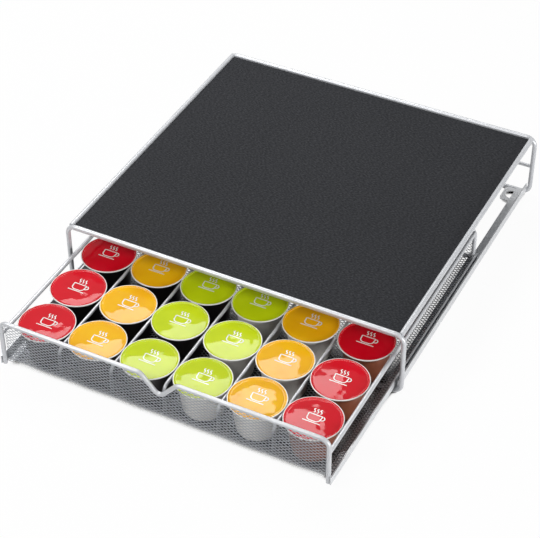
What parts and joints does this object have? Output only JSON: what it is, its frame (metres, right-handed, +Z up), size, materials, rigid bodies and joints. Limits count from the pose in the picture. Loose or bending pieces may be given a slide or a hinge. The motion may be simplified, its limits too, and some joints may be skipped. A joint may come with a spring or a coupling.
{
  "type": "coffee pod drawer",
  "caption": "Flat wire housing with a padded top, and a mesh-floored drawer in six lanes for coffee pods that slides out of its front; a machine stands on top.",
  "frame": {"origin": "on the table, in the middle of the whole footprint with the drawer drawn out as stored", "axes": "+Z up, the drawer slides out towards -Y, +X to the right as seen from the drawer's front"},
  "size_m": [0.3444, 0.4552, 0.0706],
  "materials": {
    "coated_wire": "silver-grey powder coat, satin",
    "coated_mesh": "silver-grey powder coat on expanded metal",
    "coated_sheet": "silver-grey powder coat, satin",
    "mat_rubber": "charcoal, fine diagonal grain",
    "lid_red": "glossy sealed foil",
    "lid_yellow": "glossy sealed foil",
    "lid_lime": "glossy sealed foil",
    "cup_black": "smooth",
    "cup_white": "smooth",
    "cup_brown": "smooth"
  },
  "bodies": {
    "housing": {"housing_front_loop": "coated_wire", "housing_rear_loop": "coated_wire", "top_rail_left": "coated_wire", "top_rail_right": "coated_wire", "rear_stop_wire": "coated_wire", "guide_left": "coated_sheet", "guide_right": "coated_sheet", "top_tray": "coated_sheet", "top_mat": "mat_rubber"},
    "drawer": {"drawer_front_wire": "coated_wire", "drawer_rear_loop": "coated_wire", "side_wire_left": "coated_wire", "side_wire_right": "coated_wire", "divider_1": "coated_wire", "divider_2": "coated_wire", "divider_3": "coated_wire", "divider_4": "coated_wire", "divider_5": "coated_wire", "runner_left": "coated_sheet", "runner_right": "coated_sheet", "front_mesh": "coated_mesh", "floor_mesh": "coated_mesh", "rear_mesh": "coated_mesh", "pod_cups_lane_1": "cup_black", "pod_lids_lane_1": "lid_red", "pod_cups_lane_2": "cup_black", "pod_lids_lane_2": "lid_yellow", "pod_cups_lane_3": "cup_black", "pod_lids_lane_3": "lid_lime", "pod_cups_lane_4": "cup_white", "pod_lids_lane_4": "lid_lime", "pod_cups_lane_5": "cup_white", "pod_lids_lane_5": "lid_yellow", "pod_cups_lane_6": "cup_brown", "pod_lids_lane_6": "lid_red"}
  },
  "joints": [
    {"name": "drawer_slide", "type": "slide", "parent": "housing", "child": "drawer", "axis": [0, -1, 0], "range_m": [-0.1248, 0.15]}
  ]
}
